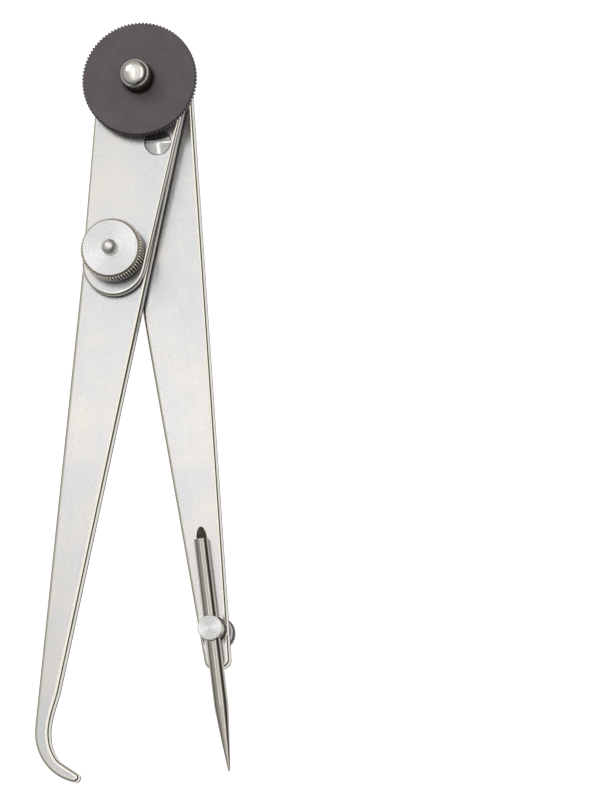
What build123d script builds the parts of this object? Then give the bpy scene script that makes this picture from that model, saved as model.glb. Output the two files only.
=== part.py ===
from build123d import *
from math import cos, pi, radians, sin, tan
import os

# Lock-joint hermaphrodite caliper, 6 inch size, lying flat with its working face up.
# Origin: on the joint axis, at the rear face of the point leg. +Z: along the joint axis
# towards the lock disc. -Y: down the centreline of the point leg to the scriber's tip.
# The hook leg lies on the -X side, turned about Z by opening_angle.

# ---- driving dimensions (mm, degrees) ----
opening_angle = 15.8             # between the centrelines of the two legs
reach = 152.4                    # joint axis to the scriber's tip

leg_thickness = 3.175
leg_head_radius = 9.8            # round end of both legs at the joint
leg_edge_round = 0.35            # polished corners of the legs
leg_gap = 0.10                   # between the two legs
leaf_thickness = 2.4
leaf_gap = 0.05                  # between hook leg and transfer leaf
running_fit = 0.03               # radial clearance of a turning pin in its hole

point_leg_length = 129.9         # joint axis to the square lower end
point_leg_end_width = 5.7
point_leg_corner = 2.0           # corners of the lower end, in plan

hook_taper = 3.2                 # each edge against the centreline
hook_straight = 134.0            # length of the straight inner edge
leaf_head_radius = 10.1
leaf_end_radius = 7.08
leaf_end_distance = 40.7         # joint axis to the centre of the leaf's round end

stud_diameter = 7.0
stud_foot_diameter = 9.4
stud_foot_depth = 2.5            # let into the point leg from the front
ball_diameter = 6.5
ball_centre_height = 3.2         # above the face of the lock disc
collar_diameter = 10.0
collar_swing_room = 0.7          # radial room for the fine swing of the hook leg

key_washer_diameter = 13.0
key_washer_thickness = 0.5
spring_washer_height = 0.45
spring_washer_thickness = 0.3
stud_flat_depth = 0.5            # flat that keeps the key washer from turning
spring_washer_diameter = 12.4

disc_diameter = 25.4
disc_teeth = 98
disc_tooth_depth = 0.38
disc_rim_thickness = 2.6
disc_hub_height = 0.5
disc_hub_diameter = 15.0

pivot_screw_place = (5.5, -12.7)  # in the leaf's own axes
pivot_screw_head_diameter = 5.7
pivot_screw_head_thickness = 1.1
pivot_screw_shoulder_diameter = 4.0
pivot_screw_thread_diameter = 3.2
screw_slot_width = 0.5
screw_slot_depth = 0.6
screw_slot_angle = -6             # of the slot against +X
screw_head_room = 0.08           # radial room round the screw's flush head
screw_end_room = 0.3             # from the screw's end to the hook leg's rear face

binding_distance = 38.4          # joint axis to the binding stud
binding_stud_diameter = 3.4
binding_dome_rise = 0.8          # centre of the stud's round end above the nut's face
binding_slot_swing = 2.6         # degrees each way that the leaf's slot allows
binding_nut_diameter = 13.6
binding_nut_height = 5.3
binding_hub_diameter = 9.8       # plain hub behind the knurl
binding_hub_height = 0.9
binding_nut_teeth = 64
binding_tooth_depth = 0.32
binding_face_bevel = 0.75        # height of the turned bevel on the nut's face
binding_washer_diameter = 9.0
binding_washer_thickness = 0.4

scriber_diameter = 3.175
scriber_length = 50.8
scriber_taper_length = 14.3
scriber_groove_depth = 0.5
groove_end = 98.6                # joint axis to the upper end of the groove

clamp_distance = 121.4           # joint axis to the scriber clamp
clamp_head_diameter = 5.4
clamp_head_height = 3.9          # above the face of the point leg
clamp_hole_diameter = 5.95
clamp_shank_diameter = 3.0
clamp_shank_hole = 3.2
clamp_nut_diameter = 7.5
clamp_nut_height = 4.6
clamp_nut_teeth = 36
clamp_tooth_depth = 0.25
clamp_knurl_end = 2.0            # knurled band, from the nut's rear face
clamp_nut_floor = 0.7             # blind end of the clamp nut
clamp_seat = 1.2                 # floor of the eye bolt's pocket in the point leg
clamp_eye_rear = 1.35            # rear face of the eye bolt's head
clamp_shank_short = 0.8          # from the shank's end to the nut's rear face
small_chamfer = 0.12
thread_room = 0.05               # radial room of a nut on its thread

# ---- heights of the stack, from the rear face of the point leg ----
point_front = leg_thickness
hook_rear = point_front + leg_gap
hook_front = hook_rear + leg_thickness
leaf_rear = hook_front + leaf_gap
leaf_front = leaf_rear + leaf_thickness
key_washer_front = leaf_front + key_washer_thickness
disc_hub_rear = key_washer_front + spring_washer_height
disc_rear = disc_hub_rear + disc_hub_height
disc_front = disc_rear + disc_rim_thickness
scriber_radius = scriber_diameter / 2
scriber_height = point_front - scriber_groove_depth + scriber_radius


def turned_plane(height):
    """A plane in the hook leg's own axes: its -Y runs down that leg's centreline."""
    swing = radians(-opening_angle)
    return Plane(origin=(0, 0, height), x_dir=(cos(swing), sin(swing), 0), z_dir=(0, 0, 1))


def toothed_ring(radius, depth, teeth):
    """Corners of a straight-knurled rim, with one crest and one root for each tooth."""
    pitch = 2 * pi / teeth
    corners = []
    for tooth in range(teeth):
        for shift, reach_out in ((-0.22, radius - depth), (0.0, radius - depth),
                                 (0.34, radius), (0.44, radius)):
            angle = (tooth + shift) * pitch
            corners.append((reach_out * cos(angle), reach_out * sin(angle)))
    return corners


def edges_at(part, height):
    """The edges that lie flat at one height."""
    level = part.edges().filter_by_position(Axis.Z, height - 0.001, height + 0.001)
    return level.filter_by(lambda edge: edge.bounding_box().size.Z < 0.001)


# ---- point leg: back layer, with its scriber groove and clamp hole ----
end_x = point_leg_end_width / 2 - point_leg_corner
end_y = point_leg_corner - point_leg_length
with BuildPart() as point_leg:
    with BuildSketch() as point_leg_plan:
        Circle(leg_head_radius)
        with Locations((end_x, end_y), (-end_x, end_y)):
            Circle(point_leg_corner)
        make_hull()
    extrude(amount=leg_thickness)
    fillet(edges_at(point_leg, 0) + edges_at(point_leg, point_front), leg_edge_round)
    with BuildSketch(Plane.XY.offset(point_front)):
        Circle(stud_foot_diameter / 2)
    extrude(amount=-stud_foot_depth, mode=Mode.SUBTRACT)
    groove_plane = Plane(origin=(0, -groove_end, scriber_height), z_dir=(0, -1, 0))
    with BuildSketch(groove_plane):
        Circle(scriber_radius + 0.02)
    extrude(amount=point_leg_length - groove_end + 1, mode=Mode.SUBTRACT)
    with BuildSketch(Plane.XY):
        with Locations((0, -clamp_distance)):
            Circle(clamp_shank_hole / 2)
    extrude(amount=leg_thickness, mode=Mode.SUBTRACT)
    with BuildSketch(Plane.XY.offset(clamp_seat)):
        with Locations((0, -clamp_distance)):
            Circle(clamp_hole_diameter / 2)
    extrude(amount=leg_thickness, mode=Mode.SUBTRACT)

# ---- pivot stud: foot let into the point leg, shank, flat and ball end ----
ball_radius = ball_diameter / 2
ball_centre = disc_front + ball_centre_height
stud_foot_rear = point_front - stud_foot_depth
with BuildPart() as pivot_stud:
    with BuildSketch(Plane.XZ):
        with BuildLine():
            Polyline(
                (0, ball_centre + ball_radius),
                (0, stud_foot_rear),
                (stud_foot_diameter / 2, stud_foot_rear),
                (stud_foot_diameter / 2, point_front),
                (stud_diameter / 2, point_front),
                (stud_diameter / 2, disc_front - 0.4),
                (ball_radius, disc_front - 0.1),
                (ball_radius, ball_centre),
            )
            CenterArc((0, ball_centre), ball_radius, 0, 90)
        make_face()
    revolve(axis=Axis.Z)
    flat_x = stud_diameter / 2 - stud_flat_depth
    with BuildSketch(Plane.XY.offset(leaf_front)):
        with Locations((flat_x + stud_flat_depth, 0)):
            Rectangle(2 * stud_flat_depth, stud_diameter)
    extrude(amount=disc_front - 1.0 - leaf_front, mode=Mode.SUBTRACT)

# ---- distance collar: carries the leaf past the hook leg's wide hole ----
with BuildPart() as distance_collar:
    with BuildSketch(Plane.XY.offset(point_front)):
        Circle(collar_diameter / 2)
        Circle(stud_diameter / 2, mode=Mode.SUBTRACT)
    extrude(amount=leaf_rear - point_front)

# ---- hook leg: middle layer, tapering to a foot that turns inwards ----
taper = radians(hook_taper)
tangent_x = leg_head_radius * cos(taper)
tangent_y = -leg_head_radius * sin(taper)
edge_x = leg_head_radius / cos(taper)
inner_x = edge_x - hook_straight * tan(taper)
heel_y = 140.5
heel_x = edge_x - heel_y * tan(taper)
down_left = (-sin(taper), -cos(taper))
down_right = (sin(taper), -cos(taper))
with BuildPart() as hook_leg:
    with BuildSketch(turned_plane(hook_rear)):
        with BuildLine():
            Line((tangent_x, tangent_y), (inner_x, -hook_straight))
            Spline((inner_x, -hook_straight), (1.5, -142.0), (2.35, -146.3), (5.2, -149.7),
                   tangents=(down_left, (0.9, -0.44)))
            Line((5.2, -149.7), (8.75, -151.35))
            ThreePointArc((8.75, -151.35), (9.62, -152.55), (8.3, -153.6))
            Spline((8.3, -153.6), (3.53, -152.05), (0.68, -149.5), (-1.35, -145.6),
                   (-heel_x, -heel_y), tangents=((-1, 0.08), (-down_right[0], -down_right[1])))
            Line((-heel_x, -heel_y), (-tangent_x, tangent_y))
            ThreePointArc((-tangent_x, tangent_y), (0, leg_head_radius), (tangent_x, tangent_y))
        make_face()
    extrude(amount=leg_thickness)
    fillet(edges_at(hook_leg, hook_rear) + edges_at(hook_leg, hook_front), leg_edge_round)
    with BuildSketch(turned_plane(hook_rear)):
        Circle(collar_diameter / 2 + collar_swing_room)
        with Locations(pivot_screw_place):
            Circle(pivot_screw_thread_diameter / 2)
        with Locations((0, -binding_distance)):
            Circle(binding_stud_diameter / 2)
    extrude(amount=leg_thickness, mode=Mode.SUBTRACT)

# ---- transfer leaf: front layer, locked to the point leg by the disc ----
swing_arm = ((pivot_screw_place[0]) ** 2 + (pivot_screw_place[1] + binding_distance) ** 2) ** 0.5
slot_travel = swing_arm * radians(binding_slot_swing)
with BuildPart() as transfer_leaf:
    with BuildSketch(turned_plane(leaf_rear)):
        Circle(leaf_head_radius)
        with Locations((0, -leaf_end_distance)):
            Circle(leaf_end_radius)
        make_hull()
    extrude(amount=leaf_thickness)
    fillet(edges_at(transfer_leaf, leaf_front), leg_edge_round)
    chamfer(edges_at(transfer_leaf, leaf_rear), 0.15)
    with BuildSketch(turned_plane(leaf_rear)):
        Circle(stud_diameter / 2 + running_fit)
        with Locations(pivot_screw_place):
            Circle(pivot_screw_shoulder_diameter / 2 + running_fit)
        with Locations((0, -binding_distance)):
            SlotCenterToCenter(2 * slot_travel, binding_stud_diameter + 0.5)
    extrude(amount=leaf_thickness, mode=Mode.SUBTRACT)
    with BuildSketch(turned_plane(leaf_front)):
        with Locations(pivot_screw_place):
            Circle(pivot_screw_head_diameter / 2 + screw_head_room)
    extrude(amount=-pivot_screw_head_thickness, mode=Mode.SUBTRACT)

# ---- slotted shoulder screw on which the hook leg swings against the leaf ----
head_rear = leaf_front - pivot_screw_head_thickness
head_radius = pivot_screw_head_diameter / 2
shoulder_radius = pivot_screw_shoulder_diameter / 2
thread_radius = pivot_screw_thread_diameter / 2
screw_x = pivot_screw_place[0]
screw_y = pivot_screw_place[1]
with BuildPart() as leaf_pivot_screw:
    with BuildSketch(turned_plane(hook_rear + screw_end_room)):
        with Locations(pivot_screw_place):
            Circle(thread_radius)
    extrude(amount=hook_front - hook_rear - screw_end_room)
    with BuildSketch(turned_plane(hook_front)):
        with Locations(pivot_screw_place):
            Circle(shoulder_radius)
    extrude(amount=head_rear - hook_front)
    with BuildSketch(turned_plane(head_rear)):
        with Locations(pivot_screw_place):
            Circle(head_radius)
    extrude(amount=leaf_front - head_rear)
    chamfer(edges_at(leaf_pivot_screw, leaf_front), small_chamfer)
    with BuildSketch(Plane.XY.offset(leaf_front)):
        with Locations(turned_plane(0).from_local_coords(Vector(screw_x, screw_y, 0))):
            Rectangle(2 * head_radius + 1, screw_slot_width, rotation=screw_slot_angle)
    extrude(amount=-screw_slot_depth, mode=Mode.SUBTRACT)

# ---- key washer: its flat stops it turning with the disc ----
with BuildPart() as key_washer:
    with BuildSketch(Plane.XY.offset(leaf_front)):
        Circle(key_washer_diameter / 2)
        Circle(stud_diameter / 2 + running_fit, mode=Mode.SUBTRACT)
        with Locations((flat_x + running_fit + stud_flat_depth / 2, 0)):
            Rectangle(stud_flat_depth, stud_diameter * 0.7)
    extrude(amount=key_washer_thickness)

# ---- spring washer: a dished ring under the hub of the disc ----
spring_inner = stud_diameter / 2 + 0.15
spring_outer = spring_washer_diameter / 2
with BuildPart() as spring_washer:
    with BuildSketch(Plane.XZ):
        with BuildLine():
            Polyline(
                (spring_outer, key_washer_front),
                (spring_outer, key_washer_front + spring_washer_thickness),
                (spring_inner, disc_hub_rear),
                (spring_inner, disc_hub_rear - spring_washer_thickness),
                close=True,
            )
        make_face()
    revolve(axis=Axis.Z)

# ---- lock disc: knurled rim, raised hub behind, plain face in front ----
disc_radius = disc_diameter / 2
hub_radius = disc_hub_diameter / 2
disc_bore = stud_diameter / 2 + thread_room
with BuildPart() as lock_disc:
    with BuildSketch(Plane.XY.offset(disc_hub_rear)):
        with BuildLine():
            Polyline(*toothed_ring(disc_radius, disc_tooth_depth, disc_teeth), close=True)
        make_face()
    extrude(amount=disc_front - disc_hub_rear)
    with BuildSketch(Plane.XZ):
        with BuildLine():
            Polyline(
                (disc_bore, disc_hub_rear),
                (hub_radius, disc_hub_rear),
                (hub_radius, disc_rear),
                (disc_radius - 1.5, disc_rear),
                (disc_radius + 0.05, disc_rear + 0.7),
                (disc_radius + 0.05, disc_front - 0.2),
                (disc_radius - 0.3, disc_front),
                (disc_bore, disc_front),
                close=True,
            )
        make_face()
    revolve(axis=Axis.Z, mode=Mode.INTERSECT)

# ---- binding stud, washer and nut, which lock the hook leg to the leaf ----
nut_rear = leaf_front + binding_washer_thickness
nut_front = nut_rear + binding_nut_height
stud_radius = binding_stud_diameter / 2
dome_centre = nut_front + binding_dome_rise
binding_x = -binding_distance * sin(radians(opening_angle))
binding_y = -binding_distance * cos(radians(opening_angle))
binding_profile = Plane(origin=(binding_x, binding_y, 0), x_dir=(1, 0, 0), z_dir=(0, -1, 0))
binding_axis = Axis((binding_x, binding_y, 0), (0, 0, 1))
with BuildPart() as binding_stud:
    with BuildSketch(binding_profile):
        with BuildLine():
            Polyline(
                (0, dome_centre + stud_radius),
                (0, hook_rear + 0.2),
                (stud_radius, hook_rear + 0.2),
                (stud_radius, dome_centre),
            )
            CenterArc((0, dome_centre), stud_radius, 0, 90)
        make_face()
    revolve(axis=binding_axis)

with BuildPart() as binding_washer:
    with BuildSketch(turned_plane(leaf_front)):
        with Locations((0, -binding_distance)):
            Circle(binding_washer_diameter / 2)
            Circle(stud_radius + 0.1, mode=Mode.SUBTRACT)
    extrude(amount=binding_washer_thickness)

nut_radius = binding_nut_diameter / 2
hub_edge = binding_hub_diameter / 2
with BuildPart() as binding_nut:
    with BuildSketch(Plane(origin=(binding_x, binding_y, nut_rear))):
        with BuildLine():
            Polyline(*toothed_ring(nut_radius, binding_tooth_depth, binding_nut_teeth), close=True)
        make_face()
    extrude(amount=binding_nut_height)
    with BuildSketch(binding_profile):
        with BuildLine():
            Polyline(
                (stud_radius + thread_room, nut_rear),
                (hub_edge, nut_rear),
                (hub_edge, nut_rear + binding_hub_height),
                (nut_radius - 0.5, nut_rear + binding_hub_height),
                (nut_radius + 0.05, nut_rear + binding_hub_height + 0.35),
                (nut_radius + 0.05, nut_front - binding_face_bevel),
                (nut_radius - 0.4, nut_front - binding_face_bevel),
                (nut_radius - 0.5, nut_front - 0.15),
                (nut_radius - 0.6, nut_front),
                (stud_radius + thread_room, nut_front),
                close=True,
            )
        make_face()
    revolve(axis=binding_axis, mode=Mode.INTERSECT)

# ---- scriber: ground rod with a long convex point ----
scriber_top = scriber_length - reach
taper_start = scriber_taper_length - reach
with BuildPart() as scriber:
    with BuildSketch(Plane.XY.offset(scriber_height)):
        with BuildLine():
            Polyline(
                (0, -reach),
                (0, scriber_top),
                (scriber_radius - 0.15, scriber_top),
                (scriber_radius, scriber_top - 0.15),
                (scriber_radius, taper_start),
            )
            ThreePointArc((scriber_radius, taper_start), (0.95, taper_start - 7.3),
                          (0.1, 0.12 - reach))
            Line((0.1, 0.12 - reach), (0, -reach))
        make_face()
    revolve(axis=Axis((0, 0, scriber_height), (0, 1, 0)))

# ---- clamp eye bolt: its cross hole holds the scriber against the groove ----
clamp_nut_rear = -clamp_nut_height
with BuildPart() as clamp_eye_bolt:
    with BuildSketch(Plane.XY.offset(clamp_eye_rear)):
        with Locations((0, -clamp_distance)):
            Circle(clamp_head_diameter / 2)
    extrude(amount=point_front + clamp_head_height - clamp_eye_rear)
    chamfer(edges_at(clamp_eye_bolt, point_front + clamp_head_height), small_chamfer)
    with BuildSketch(Plane.XY.offset(clamp_nut_rear + clamp_shank_short)):
        with Locations((0, -clamp_distance)):
            Circle(clamp_shank_diameter / 2)
    extrude(amount=clamp_eye_rear - clamp_nut_rear - clamp_shank_short)
    eye_side = Plane(origin=(0, clamp_head_diameter - clamp_distance, scriber_height), z_dir=(0, -1, 0))
    with BuildSketch(eye_side):
        Circle(scriber_radius + running_fit)
    extrude(amount=2 * clamp_head_diameter, mode=Mode.SUBTRACT)

# ---- clamp nut: blind knurled nut behind the point leg ----
clamp_radius = clamp_nut_diameter / 2
clamp_profile = Plane(origin=(0, -clamp_distance, 0), x_dir=(1, 0, 0), z_dir=(0, -1, 0))
clamp_axis = Axis((0, -clamp_distance, 0), (0, 0, 1))
with BuildPart() as clamp_nut:
    with BuildSketch(Plane(origin=(0, -clamp_distance, clamp_nut_rear))):
        with BuildLine():
            Polyline(*toothed_ring(clamp_radius, clamp_tooth_depth, clamp_nut_teeth), close=True)
        make_face()
    extrude(amount=clamp_nut_height)
    with BuildSketch(clamp_profile):
        with BuildLine():
            Polyline(
                (0, clamp_nut_rear),
                (clamp_radius - 0.25, clamp_nut_rear),
                (clamp_radius + 0.02, clamp_nut_rear + 0.3),
                (clamp_radius + 0.02, clamp_nut_rear + clamp_knurl_end),
                (clamp_radius - 0.35, clamp_nut_rear + clamp_knurl_end + 0.2),
                (clamp_radius - 0.35, -0.5),
                (clamp_radius - 0.7, 0),
                (clamp_shank_diameter / 2 + thread_room, 0),
                (clamp_shank_diameter / 2 + thread_room, clamp_nut_rear + clamp_nut_floor),
                (0, clamp_nut_rear + clamp_nut_floor),
                close=True,
            )
        make_face()
    revolve(axis=clamp_axis, mode=Mode.INTERSECT)

# ---- labels and export ----
pieces = {
    "point_leg": point_leg,
    "pivot_stud": pivot_stud,
    "distance_collar": distance_collar,
    "hook_leg": hook_leg,
    "transfer_leaf": transfer_leaf,
    "leaf_pivot_screw": leaf_pivot_screw,
    "key_washer": key_washer,
    "spring_washer": spring_washer,
    "lock_disc": lock_disc,
    "binding_stud": binding_stud,
    "binding_washer": binding_washer,
    "binding_nut": binding_nut,
    "scriber": scriber,
    "clamp_eye_bolt": clamp_eye_bolt,
    "clamp_nut": clamp_nut,
}
os.makedirs("parts", exist_ok=True)
for name, piece in pieces.items():
    piece.part.label = name
    export_step(piece.part, f"parts/{name}.step")
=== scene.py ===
import math
import bpy
import numpy as np
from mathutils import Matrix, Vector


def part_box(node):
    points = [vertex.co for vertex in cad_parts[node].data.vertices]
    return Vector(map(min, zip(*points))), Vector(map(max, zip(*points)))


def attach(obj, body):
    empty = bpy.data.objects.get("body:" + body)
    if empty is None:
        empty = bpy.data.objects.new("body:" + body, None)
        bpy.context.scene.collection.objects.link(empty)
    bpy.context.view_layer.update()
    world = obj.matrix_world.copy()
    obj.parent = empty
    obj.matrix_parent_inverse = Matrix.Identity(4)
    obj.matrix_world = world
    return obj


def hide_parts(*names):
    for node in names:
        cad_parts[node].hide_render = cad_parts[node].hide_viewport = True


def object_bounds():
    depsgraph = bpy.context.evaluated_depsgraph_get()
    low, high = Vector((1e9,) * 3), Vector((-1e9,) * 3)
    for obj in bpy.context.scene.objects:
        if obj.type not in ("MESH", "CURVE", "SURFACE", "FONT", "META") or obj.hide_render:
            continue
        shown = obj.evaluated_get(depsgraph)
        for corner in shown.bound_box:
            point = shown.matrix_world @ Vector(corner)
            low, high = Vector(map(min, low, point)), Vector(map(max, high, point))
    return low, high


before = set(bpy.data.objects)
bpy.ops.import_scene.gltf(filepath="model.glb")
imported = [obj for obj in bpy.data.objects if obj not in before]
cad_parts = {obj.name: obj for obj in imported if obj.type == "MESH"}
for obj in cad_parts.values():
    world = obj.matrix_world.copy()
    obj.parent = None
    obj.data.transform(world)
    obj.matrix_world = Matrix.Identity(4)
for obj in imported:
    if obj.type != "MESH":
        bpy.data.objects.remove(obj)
cadBox = [list(corner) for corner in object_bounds()]
mm = 0.001
print("frame loaded:", len(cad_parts), "nodes")


# places and sizes, all read from the frame
def boxOf(node):
    low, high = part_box(node)
    return np.array(low), np.array(high)


def middleOf(node):
    low, high = boxOf(node)
    return (low + high) / 2


def radiusOf(node):
    low, high = boxOf(node)
    return (high[0] - low[0]) / 2


pointLow, pointHigh = boxOf("point_leg")
hookLow, hookHigh = boxOf("hook_leg")
leafLow, leafHigh = boxOf("transfer_leaf")
discLow, discHigh = boxOf("lock_disc")
nutLow, nutHigh = boxOf("binding_nut")
rodLow, rodHigh = boxOf("scriber")
clampNutLow, clampNutHigh = boxOf("clamp_nut")
bindingPlace = middleOf("binding_stud")[:2]
screwPlace = middleOf("leaf_pivot_screw")[:2]
clampPlace = middleOf("clamp_eye_bolt")[:2]
jointPlace = np.zeros(2)
openingAngle = math.atan2(-bindingPlace[0], -bindingPlace[1])
rodRadius = (rodHigh[2] - rodLow[2]) / 2
rodHeight = (rodHigh[2] + rodLow[2]) / 2


def turnedToHook(points):
    # from the hook leg's own axes, where -Y runs down its centreline, to the part's axes
    c, s = math.cos(openingAngle), math.sin(openingAngle)
    return np.stack((points[:, 0] * c + points[:, 1] * s, points[:, 1] * c - points[:, 0] * s), axis=1)


# surfaces worked out with numpy
def meshPiece(name, points, runs, edge=None):
    # points is an n x 3 array in metres; each run is (faces as an m x k array of point numbers, soft shading)
    mesh = bpy.data.meshes.new(name)
    mesh.vertices.add(len(points))
    mesh.vertices.foreach_set("co", np.ascontiguousarray(points, dtype=np.float32).ravel())
    corners = np.concatenate([faces.ravel() for faces, soft in runs])
    counts = np.concatenate([np.full(len(faces), faces.shape[1]) for faces, soft in runs])
    shading = np.concatenate([np.full(len(faces), soft) for faces, soft in runs])
    mesh.loops.add(len(corners))
    mesh.loops.foreach_set("vertex_index", corners.astype(np.int32))
    mesh.polygons.add(len(counts))
    mesh.polygons.foreach_set("loop_start", (np.cumsum(counts) - counts).astype(np.int32))
    mesh.polygons.foreach_set("use_smooth", shading)
    if edge is not None:
        layer = mesh.attributes.new("edge", "FLOAT", "POINT")
        layer.data.foreach_set("value", np.ascontiguousarray(edge, dtype=np.float32))
    mesh.update(calc_edges=True)
    mesh.validate()
    piece = bpy.data.objects.new(name, mesh)
    bpy.context.scene.collection.objects.link(piece)
    return piece


def roundedPath(corners, steps=6, support=0.05 * mm):
    # corners are (across, up, radius, edge). A rounded corner is an arc that touches both of its runs:
    # it starts radius * tan(turn / 2) before the corner. One point stands a little before and after it,
    # so that the shading of the flat runs stays flat. edge is above 0 where the corner is polished by
    # handling and gets a painted highlight, and below 0 where it gets painted shade that fades out along the
    # run.
    parts = []
    for number, (across, up, radius, edge) in enumerate(corners):
        here = np.array((across, up))
        if radius == 0:
            parts.append(np.array([[across, up, edge]]))
            continue
        before = here - np.array(corners[number - 1][:2])
        after = np.array(corners[number + 1][:2]) - here
        before = before / np.linalg.norm(before)
        after = after / np.linalg.norm(after)
        side = 1.0 if before[0] * after[1] - before[1] * after[0] > 0 else -1.0
        inward = side * np.array((-before[1], before[0]))
        turn = math.acos(max(-1.0, min(1.0, float(before @ after))))
        start = here - before * radius * math.tan(turn / 2)
        angles = np.linspace(0, turn, steps + 1)[:, None]
        arc = start + inward * radius * (1 - np.cos(angles)) + before * radius * np.sin(angles)
        ends = np.vstack((start - before * support, arc, arc[-1] + after * support))
        tone = np.concatenate(([min(edge, 0.0)], np.full(steps + 1, edge), [min(edge, 0.0)]))
        parts.append(np.column_stack((ends, tone)))
    return np.concatenate(parts)


def gridFaces(rows, columns):
    # quads of a grid that closes on itself along its columns, numbered row by row
    row, column = np.meshgrid(np.arange(rows - 1), np.arange(columns), indexing="ij")
    following = (column + 1) % columns
    corners = (row * columns + column, row * columns + following,
               (row + 1) * columns + following, (row + 1) * columns + column)
    return np.stack(corners, axis=-1).reshape(-1, 4)


def toothRadius(angles, teeth):
    # a straight knurl: flat crests and roots, joined by straight flanks, as a function of the angle. Gives
    # the radius, and how far down the flank each place is
    phase = np.abs(((angles * teeth["count"] / (2 * np.pi)) % 1.0) * 2 - 1)
    root = np.clip((phase - 0.28) / 0.42, 0, 1)
    return (teeth["radius"] - teeth["depth"] * root)[None], root[None]


def turnedPiece(name, path, place, segments, teeth=None, alongRod=False):
    # the profile point (r, h) goes to (r cos a, r sin a, h) about the axis through place. The profile
    # runs from the rear pole, outwards and forwards, to the front pole. Knurled, r is never more than
    # toothRadius(a), and the edge value falls from the crests to the roots. alongRod lays the axis along
    # -Y at the rod's height.
    angles = np.arange(segments) * 2 * np.pi / segments
    radius = np.repeat(path[1:-1, :1], segments, axis=1)
    edge = np.repeat(path[1:-1, 2:3], segments, axis=1)
    if teeth:
        limit, root = toothRadius(angles, teeth)
        # on the teeth the edge value gives a painted highlight on the crests and painted shade in the roots
        edge = np.where(radius > limit - 0.01 * mm, teeth["crest"] - root * (1 + teeth["crest"]), edge)
        radius = np.minimum(radius, limit)
    height = np.repeat(path[1:-1, 1:2], segments, axis=1)
    rings = np.stack((radius * np.cos(angles), radius * np.sin(angles), height), axis=-1).reshape(-1, 3)
    poles = np.array([[0, 0, path[0, 1]], [0, 0, path[-1, 1]]])
    local = np.vstack((rings, poles))
    if alongRod:
        points = np.column_stack((local[:, 0], -local[:, 2], local[:, 1] + rodHeight))
    else:
        points = local + np.array((place[0], place[1], 0))
    rows = len(path) - 2
    ring = np.arange(segments)
    following = (ring + 1) % segments
    rearPole, frontPole = rows * segments, rows * segments + 1
    last = (rows - 1) * segments
    rearFan = np.column_stack((following, ring, np.full(segments, rearPole)))
    frontFan = np.column_stack((ring + last, following + last, np.full(segments, frontPole)))
    edge = np.concatenate((edge.ravel(), [0.0, 0.0]))
    runs = [(gridFaces(rows, segments), True), (rearFan, True), (frontFan, True)]
    piece = meshPiece(name, points, runs, edge)
    piece.data.set_sharp_from_angle(angle=math.radians(32))
    return piece


def platePiece(name, outline, path):
    # a flat bar: the edge profile (inset, height) is carried round the outline, whose points run
    # anticlockwise; each point moves inwards by its inset along the outline's normal. Flat faces close it.
    along = np.roll(outline, -1, axis=0) - np.roll(outline, 1, axis=0)
    along /= np.linalg.norm(along, axis=1)[:, None]
    inward = np.column_stack((-along[:, 1], along[:, 0]))
    plan = outline[None] + inward[None] * path[:, 0][:, None, None]
    height = np.repeat(path[:, 1:2], len(outline), axis=1)
    points = np.dstack((plan, height)).reshape(-1, 3)
    around = np.arange(len(outline))[None]
    runs = [(gridFaces(len(path), len(outline)), True), (around[:, ::-1], False),
            (around + (len(path) - 1) * len(outline), False)]
    return meshPiece(name, points, runs, np.repeat(path[:, 2], len(outline)))


def edgePath(rear, front, rearRound, frontRound, wallBow=0.0):
    # rear flat, rear corner, wall that bows out in its middle, front corner, front flat. The rear corner and
    # the lower wall are matt and get painted shade; the upper wall and the front corner are polished and get
    # a painted highlight
    inset = max(rearRound, frontRound) + 0.12 * mm
    shadeTo = rear + 0.40 * (front - rear)
    brightFrom = rear + 0.54 * (front - rear)
    return roundedPath([(inset, rear, 0, 0.0), (wallBow, rear, rearRound, -0.9), (0, shadeTo, 0, -0.9),
                        (0, brightFrom, 0, 0.9), (wallBow, front, frontRound, 1.0), (inset, front, 0, 0.0)],
                       steps=7)


def arcPoints(centre, radius, start, end, count):
    angles = np.radians(np.linspace(start, end, count))
    return np.column_stack((centre[0] + radius * np.cos(angles), centre[1] + radius * np.sin(angles)))


def linePoints(start, end, count):
    # the inner points of a straight run, without its ends
    share = np.linspace(0, 1, count + 2)[1:-1, None]
    return np.array(start) * (1 - share) + np.array(end) * share


def clampedSpline(knots, startSlope, endSlope, count):
    # the cubic curve through the knots with given directions at its ends: with the knots' distances as
    # its parameter, the slopes at the inner knots solve one row of three unknowns each
    knots = np.array(knots)
    steps = np.linalg.norm(np.diff(knots, axis=0), axis=1)
    size = len(knots)
    system = np.eye(size)
    target = np.zeros((size, 2))
    target[0] = np.array(startSlope) / np.linalg.norm(startSlope)
    target[-1] = np.array(endSlope) / np.linalg.norm(endSlope)
    for inner in range(1, size - 1):
        before, after = steps[inner - 1], steps[inner]
        system[inner, inner - 1:inner + 2] = (after, 2 * (before + after), before)
        target[inner] = 3 * (before * (knots[inner + 1] - knots[inner]) / after
                             + after * (knots[inner] - knots[inner - 1]) / before)
    slopes = np.linalg.solve(system, target)
    place = np.concatenate(([0], np.cumsum(steps)))
    wanted = np.linspace(0, place[-1], count)
    run = np.clip(np.searchsorted(place, wanted, side="right") - 1, 0, size - 2)
    share = ((wanted - place[run]) / steps[run])[:, None]
    span = steps[run][:, None]
    rest = 1 - share
    leaving = knots[run] * (1 + 2 * share) * rest ** 2 + slopes[run] * span * share * rest ** 2
    arriving = knots[run + 1] * share ** 2 * (3 - 2 * share) - slopes[run + 1] * span * share ** 2 * rest
    return leaving + arriving


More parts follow.
